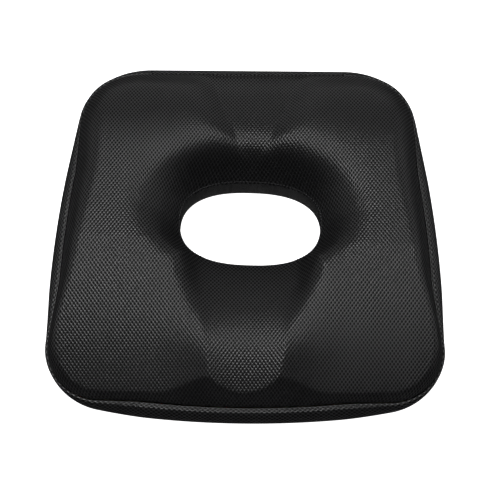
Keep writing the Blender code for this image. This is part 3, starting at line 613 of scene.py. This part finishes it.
strip_columns, strip_rows = 90, 22
strip_turn_in, mouth_turn_in, mouth_lap = 0.0017, 0.0006, 0.0004
strip_xs = np.linspace(-strip_run, strip_run, strip_columns)
seam_angle, mouth_angle = 0.07, math.acos(zip_opening / 2 / back_half)
folds = ("upper", seam_angle, mouth_angle), ("lower", math.pi - mouth_angle, math.pi - seam_angle)
for name, first_angle, last_angle in folds:
    strip_angles = np.linspace(first_angle, last_angle, strip_rows)
    depths = np.zeros(strip_rows)
    mouth = -1 if name == "upper" else 0
    depths[mouth] = mouth_turn_in
    section = back_section(strip_angles, depths)
    lap = [0.0, mouth_lap if name == "upper" else -mouth_lap]
    under = back_section(strip_angles[[mouth]], strip_turn_in) + lap
    tucked = back_section(strip_angles[[-1 - mouth]], strip_turn_in)
    section = np.concatenate([tucked, section, under] if name == "upper" else [under, section, tucked])
    strip = straight_grid(section, strip_xs)
    strip_weave = np.stack([run_down(strip), np.broadcast_to(strip_xs, strip.shape[:2])], axis=2)
    back_strip = skin(f"cover_back_air_mesh_{name}", strip, strip_weave, panel_finish, wall=panel_wall)
    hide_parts(f"cover_back_strip_{name}")
    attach(back_strip, "cushion")


# Hole lining: one strip of a finer knit that lines the hole's wall, sewn to the top panel at the rim and
# to the bottom panel at the foot. It hangs with a few soft ripples.
lining_foot, lining_top = 0.0022, 0.0296
lining_columns, lining_rows = 420, 16
lining_clearance, lining_slack, ripple_depth = 0.0014, 0.0006, 0.8
ripple_count, ripple_seed = 34, 5
foot_turn_out, foot_turn_down, lining_wall = 0.0030, 0.0004, 0.0008
# Its holes' near-black colour is painted shade of their depth over the dark spacer yarn.
lining_finish = air_mesh(
    "black_lining_mesh", pitch=(0.0017, 0.0023), hole=(0.00050, 0.00072), depth=0.00014,
    strand=(0.030, 0.030, 0.031), hole_shade=(0.004, 0.004, 0.004), roughness=0.5,
)


def hole_ring(columns, outside):
    """The hole's rim in plan at even turns about its centre, moved a distance out along its normals."""
    turn = -np.linspace(0.0, 2 * math.pi, columns, endpoint=False)
    direction = np.column_stack([np.cos(turn), np.sin(turn)])
    rim = hole_centre + direction * hole_reach(*relief_axes(hole_centre + direction))[:, None]
    ahead = np.roll(rim, -1, axis=0) - np.roll(rim, 1, axis=0)
    normal = np.column_stack([-ahead[:, 1], ahead[:, 0]]) / np.linalg.norm(ahead, axis=1)[:, None]
    return rim + normal * np.reshape(outside, (-1, 1))


def ripples(run, length, count, seed):
    """Waves along a closed run: a few sines of whole numbers of waves, with seeded phases and sizes."""
    chance = np.random.default_rng(seed)
    waves = chance.integers(count // 2, count * 2, 6)
    sizes = chance.uniform(0.4, 1.0, 6)
    phases = chance.uniform(0.0, 2 * math.pi, 6)
    return (np.sin(2 * math.pi * run[:, None] / length * waves + phases) * sizes).sum(axis=1) / sizes.sum()


edge_ring = hole_ring(lining_columns, 0.0)
edge_steps = np.linalg.norm(np.roll(edge_ring, -1, axis=0) - edge_ring, axis=1)
edge_run = np.concatenate([[0.0], np.cumsum(edge_steps)])
wave = ripples(edge_run[:-1], edge_run[-1], ripple_count, ripple_seed)


def lining_ring(outside, height):
    """One row of the lining, a distance outside the rim at one height."""
    return np.column_stack([hole_ring(lining_columns, outside), np.full(lining_columns, height)])


lining_grid = [lining_ring(foot_turn_out, lining_foot - foot_turn_down)]
for share in np.linspace(0.0, 1.0, lining_rows):
    sag = lining_slack * 4 * share * (1 - share) * (1 + ripple_depth * wave)
    lining_grid.append(lining_ring(lining_clearance - sag, lining_foot + (lining_top - lining_foot) * share))
lining_grid = np.array(lining_grid)
lining_weave = np.stack([
    np.broadcast_to(edge_run, (len(lining_grid), lining_columns + 1)),
    np.repeat(run_down(lining_grid)[:, :1], lining_columns + 1, axis=1),
], axis=2)
lining = skin(
    "cover_hole_lining_mesh", lining_grid, lining_weave, lining_finish, closed=True, wall=lining_wall
)
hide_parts("cover_hole_lining")
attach(lining, "cushion")


# Topstitching round the hole: single stitches of stout dark grey thread that hold the panel's turned edge
# down, just out from the rim.
def stitches(name, path, normals, pitch, length, radius, finish):
    """Stitches along a path of points. Each is a short tube, thick in the middle: its axis is a low arch of
    height times (1 - x^2), its ends sunk in the cloth, and its radius falls off as the root of 1 - x^4."""
    steps = np.linalg.norm(np.diff(path, axis=0), axis=1)
    run = np.concatenate([[0.0], np.cumsum(steps)])
    count = int(run[-1] / pitch)
    places = (np.arange(count) + 0.5) * run[-1] / count

    def pick(values, at):
        return np.column_stack([np.interp(at, run, values[:, axis]) for axis in range(3)])

    along = pick(path, places + length / 2) - pick(path, places - length / 2)
    along = along / np.linalg.norm(along, axis=1)[:, None]
    up = pick(normals, places)
    side = np.cross(along, up)
    side = side / np.linalg.norm(side, axis=1)[:, None]
    up = np.cross(side, along)
    reach = np.array([-1.0, -0.6, 0.0, 0.6, 1.0])
    sides, arch_height, arch_sink, end_thickness = 6, 1.6, 0.8, 0.35
    turn = np.arange(sides) * 2 * math.pi / sides
    arch = radius * (arch_height * (1 - reach**2) - arch_sink)
    thick = radius * np.maximum(np.sqrt(1 - reach**4), end_thickness)
    axis = pick(path, places)[:, None, :] + along[:, None, :] * (reach * length / 2)[:, None]
    axis = axis + up[:, None, :] * arch[:, None]
    ring = side[:, None, :] * np.cos(turn)[:, None] + up[:, None, :] * np.sin(turn)[:, None]
    points = axis[:, :, None, :] + ring[:, None, :, :] * thick[:, None, None]
    station = np.arange(len(reach) - 1)[:, None] * sides
    first = np.arange(sides)
    after = (first + 1) % sides
    ahead = station + sides
    quads = np.stack([station + first, station + after, ahead + after, ahead + first], axis=-1).reshape(-1, 4)
    faces = []
    for start in np.arange(count) * len(reach) * sides:
        faces += (quads + start).tolist()
        faces.append((first[::-1] + start).tolist())
        faces.append((first + start + (len(reach) - 1) * sides).tolist())
    mesh = bpy.data.meshes.new(name)
    mesh.from_pydata(points.reshape(-1, 3).tolist(), [], faces)
    return add_piece(name, mesh, finish)


def thread_finish(name, colour, sheen):
    """Twisted polyester thread: fine slanting plies, painted darker in the grooves between them as painted
    shade, and fibres of random tone whose bump and sheen catch the light.
    """
    finish, shader, paint = start_finish(name, Roughness=0.55, Sheen_Weight=sheen)
    place = paint.node("TexCoord", None, None, 3)
    plies = paint.node("TexWave", {"bands_direction": "DIAGONAL"}, {
        "Vector": place, "Scale": 900.0, "Distortion": 1.5
    }, 1)
    fibres = paint.node("TexNoise", None, {"Vector": place, "Scale": 4000.0, "Detail": 3.0})
    # Painted shade: the grooves between the plies take the darker colour.
    valley_shade = tuple(part * 0.55 for part in colour)
    feed(shader, (plies * 0.6 + fibres * 0.4).blend(valley_shade, colour), "Base Color")
    bump = paint.node("Bump", None, {"Height": plies * 0.00012 + fibres * 0.00005, "Distance": 1.0})
    feed(shader, bump, "Normal")
    return finish


stitch_inset, stitch_pitch, stitch_length, stitch_radius = 0.0013, 0.0036, 0.0027, 0.00042
stitch_finish = thread_finish("grey_topstitch_thread", (0.075, 0.075, 0.078), 0.3)
stitch_share = stitch_inset / np.linalg.norm(panel[-1, :, :2] - panel[0, :, :2], axis=1)
row_place = np.array([np.interp(share, shares, np.arange(rows)) for share in stitch_share])
low = row_place.astype(int)
part = (row_place - low)[:, None]
column = np.arange(columns)
panel_normals = grid_normals(panel)
stitch_path = panel[low, column] * (1 - part) + panel[low + 1, column] * part
stitch_up = panel_normals[low, column] * (1 - part) + panel_normals[low + 1, column] * part
stitch_path = np.concatenate([stitch_path, stitch_path[:1]])
stitch_up = np.concatenate([stitch_up, stitch_up[:1]])
topstitch = stitches(
    "hole_topstitch_rows", stitch_path, stitch_up, stitch_pitch, stitch_length, stitch_radius, stitch_finish
)
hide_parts("hole_topstitch")
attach(topstitch, "cushion")


# Bottom panel: a flat woven cloth printed all over with small domes of silicone, which stop the cushion
# sliding. The cloth stands on the domes.
dot_height, dot_radius, dot_pitch, dot_clearance = 0.0008, 0.0021, 0.012, 0.006
bottom_rows, bottom_clearance, bottom_edge_lift, bottom_wall = 20, 0.0014, 0.0007, 0.0012
bottom_out, bottom_outward = seam_plan(round_ring)
bottom_out = bottom_out - bottom_outward * seam_gap
bottom_away = bottom_out - hole_centre
bottom_direction = bottom_away / np.linalg.norm(bottom_away, axis=1)[:, None]
bottom_reach = hole_reach(*relief_axes(bottom_out)) + bottom_clearance
bottom_in = hole_centre + bottom_direction * bottom_reach[:, None]
bottom_share = np.linspace(0.0, 1.0, bottom_rows)[:, None, None]
bottom_plan = bottom_out + (bottom_in - bottom_out) * bottom_share
bottom_grid = np.concatenate([bottom_plan, np.full((bottom_rows, columns, 1), dot_height)], axis=2)
bottom_grid[[0, -1], :, 2] += bottom_edge_lift


def woven(name, pitch, colour, roughness, slant, coordinates):
    """Plain or twill cloth: warp and weft as two sets of rounded ridges, the sizes of two sines, one over
    the other by turns. The colour is painted darker down in the valleys between threads, as painted shade,
    and varies at random with the fibres."""
    finish, shader, paint = start_finish(name, Roughness=roughness, Sheen_Weight=0.25)
    if coordinates == "weave":
        place = paint.node("UVMap", {"uv_map": "weave"})
        axes = 0, 1
    else:
        place = paint.node("TexCoord", None, None, 3)
        axes = 0, 2
    x, y = (paint.node("SeparateXYZ", None, {"Vector": place}, axis) * (math.pi / pitch) for axis in axes)
    warp = x.math("SINE").math("ABSOLUTE")
    weft = y.math("SINE").math("ABSOLUTE")
    turns = ((x + y * slant) * 0.5).math("SINE").step(-0.2, 0.2)
    height = warp * turns + weft * (1 - turns)
    fibres = paint.node("TexNoise", None, {"Vector": place, "Scale": 1500.0, "Detail": 3.0})
    valley_shade = tuple(part * 0.45 for part in colour)
    # Painted shade: the valleys between the threads take the darker colour.
    feed(shader, (height * 0.7 + fibres * 0.4).blend(valley_shade, colour), "Base Color")
    relief = height * (pitch * 0.3) + fibres * (pitch * 0.1)
    bump = paint.node("Bump", None, {"Height": relief, "Distance": 1.0})
    feed(shader, bump, "Normal")
    return finish


grip_finish = woven("black_grip_cloth", 0.0007, (0.026, 0.026, 0.027), 0.8, 1.0, "weave")
bottom = skin("cover_bottom_cloth", bottom_grid, bottom_plan, grip_finish, closed=True, wall=bottom_wall)
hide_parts("cover_bottom_panel")
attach(bottom, "cushion")

# The dots stand on a triangular lattice, wherever they clear the hole and the seam.
lattice_reach = 20
lattice_down, lattice_across = (
    part.ravel() for part in np.meshgrid(*[np.arange(-lattice_reach, lattice_reach + 1)] * 2, indexing="ij")
)
lattice = dot_pitch * np.column_stack([
    lattice_across + 0.5 * (lattice_down % 2), math.sqrt(3) / 2 * lattice_down
])
from_centre = np.linalg.norm(lattice - hole_centre, axis=1)
outside_hole = from_centre > hole_reach(*relief_axes(lattice)) + dot_clearance
gap = lattice[:, None, :] - bottom_out[None, :, :]
nearest = np.argmin((gap**2).sum(axis=2), axis=1)
past_seam = np.sum(gap[np.arange(len(lattice)), nearest] * bottom_outward[nearest], axis=1)
inside_seam = past_seam < -dot_clearance
lattice = lattice[outside_hole & inside_seam]

# Each dot is three rings of points, narrower towards the floor: (radius, height).
dome_rings = np.array([
    (dot_radius, dot_height + 0.0002), (dot_radius * 0.85, dot_height * 0.35), (dot_radius * 0.45, 0.00005)
])
dome_sides = 8
dome_turn = np.arange(dome_sides) * 2 * math.pi / dome_sides
dome = np.stack([
    np.outer(dome_rings[:, 0], np.cos(dome_turn)),
    np.outer(dome_rings[:, 0], np.sin(dome_turn)),
    np.repeat(dome_rings[:, 1:], dome_sides, axis=1),
], axis=2).reshape(-1, 3)
dots = np.concatenate([lattice, np.zeros((len(lattice), 1))], axis=1)[:, None, :] + dome
dome_first = np.arange(dome_sides)
dome_after = (dome_first + 1) % dome_sides
dome_walls = np.column_stack([dome_first + dome_sides, dome_after + dome_sides, dome_after, dome_first])
dome_foot = 2 * dome_sides + dome_first[::-1]
dot_faces = []
for start in np.arange(len(lattice)) * len(dome):
    dot_faces += (dome_walls + start).tolist() + (dome_walls + dome_sides + start).tolist()
    dot_faces += [(dome_foot + start).tolist(), (dome_first + start).tolist()]
dot_mesh = bpy.data.meshes.new("grip_dots")
dot_mesh.from_pydata(dots.reshape(-1, 3).tolist(), [], dot_faces)
silicone, silicone_shader, silicone_paint = start_finish("dark_silicone", Roughness=0.45, Coat_Weight=0.1)
silicone_place = silicone_paint.node("TexCoord", None, None, 3)
dust = silicone_paint.node("TexNoise", None, {"Vector": silicone_place, "Scale": 180.0, "Detail": 4.0})
feed(silicone_shader, dust.step(0.35, 0.7).blend((0.035, 0.035, 0.036), (0.07, 0.07, 0.068)), "Base Color")
grip_dots = add_piece("grip_dots", dot_mesh, silicone)
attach(grip_dots, "cushion")


# Zip: two black twill tapes, each with a nylon coil sewn to its edge, drawn together by a painted slider.
# Fabric tabs and metal stops close the ends of the slot.
zip_middle = back_half
upper_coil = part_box("zip_coil_upper")
coil_wire, coil_pitch, coil_near = 0.00034, 0.0015, 0.0004
coil_reach = upper_coil[1].x - coil_wire
coil_low, coil_high = upper_coil[0].y, upper_coil[1].y
coil_outer = upper_coil[1].z - zip_middle


def helix(name, inner, outer, finish):
    """A round wire wound on an oval: x grows with the turn, y and z go round an ellipse, and the wire's own
    circle stands on the ellipse's outward direction and X."""
    points_per_turn, sides = 10, 5
    turns = int(2 * coil_reach / coil_pitch)
    turn = np.linspace(0.0, 2 * math.pi * turns, turns * points_per_turn + 1)
    half_z, half_y = (outer - inner) / 2, (coil_high - coil_low) / 2
    mid_z, mid_y = zip_middle + (outer + inner) / 2, (coil_high + coil_low) / 2
    reach_z = abs(half_z) - coil_wire
    reach_y = half_y - coil_wire
    xs = -coil_reach + coil_pitch * turn / (2 * math.pi)
    centre = np.column_stack([xs, mid_y + reach_y * np.cos(turn), mid_z + reach_z * np.sin(turn)])
    outward = np.column_stack([np.zeros_like(turn), np.cos(turn), np.sin(turn)])
    around = np.linspace(0.0, 2 * math.pi, sides, endpoint=False)[:, None, None]
    grid = centre + coil_wire * (np.cos(around) * outward + np.sin(around) * [1.0, 0.0, 0.0])
    grid = grid.transpose(1, 0, 2)
    weave = np.stack(np.meshgrid(np.arange(sides) * 0.0004, xs), axis=2)
    return skin(name, grid, weave, finish, closed=True)


nylon, nylon_shader, nylon_paint = start_finish("black_nylon", Coat_Weight=0.2)
nylon_place = nylon_paint.node("TexCoord", None, None, 3)
drawn = nylon_paint.node("TexNoise", None, {"Vector": nylon_place, "Scale": 700.0, "Detail": 2.0})
feed(nylon_shader, drawn.blend((0.012, 0.012, 0.013), (0.034, 0.034, 0.036)), "Base Color")
feed(nylon_shader, drawn.step(0.3, 0.7, 0.28, 0.45), "Roughness")
for name, sign in (("upper", 1), ("lower", -1)):
    coil = helix(f"zip_coil_turns_{name}", sign * coil_near, sign * coil_outer, nylon)
    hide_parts(f"zip_coil_{name}")
    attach(coil, "cushion")

tape_pitch, tape_length, tape_radius = 0.0032, 0.0024, 0.00034
tape_stitch_margin, tape_stitch_lift, tape_line_points = 0.0016, 0.0002, 200
stitch_line_xs = np.linspace(*[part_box("zip_stitch_upper")[end].x for end in (0, 1)], tape_line_points)
for name, sign in (("upper", 1), ("lower", -1)):
    stitch_angle = math.acos(sign * (zip_opening / 2 + tape_stitch_margin) / back_half)
    line = straight_grid(back_section(np.array([stitch_angle]), -tape_stitch_lift), stitch_line_xs)[0]
    up = np.broadcast_to([0.0, math.sin(stitch_angle), math.cos(stitch_angle)], line.shape)
    row = stitches(f"zip_stitches_{name}", line, up, tape_pitch, tape_length, tape_radius, stitch_finish)
    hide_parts(f"zip_stitch_{name}")
    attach(row, "cushion")

# Each end tab is a small square patch whose face rises steeply at its edges: the root of 1 - |x|^5 across,
# times the same along.
tab_side, tab_squareness, tab_wall = 25, 5, 0.0006
tab_across = np.linspace(-1.0, 1.0, tab_side)
swell = np.clip(1 - np.abs(tab_across) ** tab_squareness, 0.0, 1.0)
for side in ("left", "right"):
    low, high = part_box(f"zip_end_tab_{side}")
    tab_grid = np.empty((tab_side, tab_side, 3))
    tab_grid[..., 0] = (low.x + high.x) / 2 + tab_across * (high.x - low.x) / 2
    tab_grid[..., 1] = low.y + (high.y - low.y) * np.sqrt(swell[:, None] * swell)
    tab_grid[..., 2] = ((low.z + high.z) / 2 - tab_across * (high.z - low.z) / 2)[:, None]
    tab = skin(f"zip_end_patch_{side}", tab_grid, tab_grid[..., [0, 2]], panel_finish, wall=tab_wall)
    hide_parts(f"zip_end_tab_{side}")
    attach(tab, "cushion")


def dress(node, finish, rounding=0.0):
    """Gives a carried-over part its finish, and rounds its edges if asked."""
    part = bpy.data.objects[node]
    for slot in part.material_slots:
        slot.material = finish
    if rounding:
        bevel = part.modifiers.new("rounding", "BEVEL")
        bevel.width = rounding
        bevel.segments = 2
        bevel.limit_method = "ANGLE"


twill = woven("black_zip_twill", 0.0006, (0.030, 0.030, 0.032), 0.75, 3.0, "object")
for node in ("zip_tape_upper", "zip_tape_lower"):
    dress(node, twill)

metal_rounding = 0.0002
metal, metal_shader, metal_paint = start_finish("black_painted_metal", Coat_Weight=0.3)
metal_place = metal_paint.node("TexCoord", None, None, 3)
chips = metal_paint.node("TexNoise", None, {"Vector": metal_place, "Scale": 900.0, "Detail": 5.0})
chips = chips.step(0.62, 0.72)
hair = metal_paint.node("TexNoise", None, {"Vector": metal_place, "Scale": 260.0, "Detail": 6.0})
feed(metal_shader, chips.blend((0.025, 0.025, 0.027), (0.32, 0.31, 0.30)), "Base Color")
feed(metal_shader, chips * 0.9, "Metallic")
feed(metal_shader, hair.step(0.3, 0.7, 0.25, 0.45), "Roughness")
metal_bump = metal_paint.node("Bump", None, {"Height": hair * 0.00004 - chips * 0.00003, "Distance": 1.0})
feed(metal_shader, metal_bump, "Normal")
for node in ("zip_stop_left", "zip_stop_right", "zip_slider_body", "zip_pull_tab"):
    dress(node, metal, metal_rounding)


# Seams inside the cover: black overlock thread along every edge. The cover holds the foam core, one piece
# of slow cream-coloured memory foam with a fine open skin.
thread_black = thread_finish("black_sewing_thread", (0.045, 0.045, 0.047), 0.2)
for node in (
    "top_seam_overlock", "bottom_seam_overlock", "hole_rim_overlock", "hole_foot_overlock",
    "band_seam_left", "band_seam_right",
):
    dress(node, thread_black)

foam, foam_shader, foam_paint = start_finish("cream_memory_foam", Roughness=0.9, Subsurface_Weight=0.1)
foam_place = foam_paint.node("TexCoord", None, None, 3)
# Cells: pits in the bump whose centres are painted darker, as painted shade; the yellowing noise is the
# foam's own tone.
pore_pits_and_shade = foam_paint.node("TexVoronoi", None, {"Vector": foam_place, "Scale": 900.0})
yellowing = foam_paint.node("TexNoise", None, {"Vector": foam_place, "Scale": 9.0, "Detail": 3.0})
feed(foam_shader, (yellowing * 0.7 + pore_pits_and_shade * 0.3).blend((0.62, 0.55, 0.40), (0.80, 0.76, 0.64)), "Base Color")
feed(foam_shader, foam_paint.node("Bump", None, {"Height": pore_pits_and_shade * 0.0003, "Distance": 1.0}), "Normal")
dress("foam_core", foam)
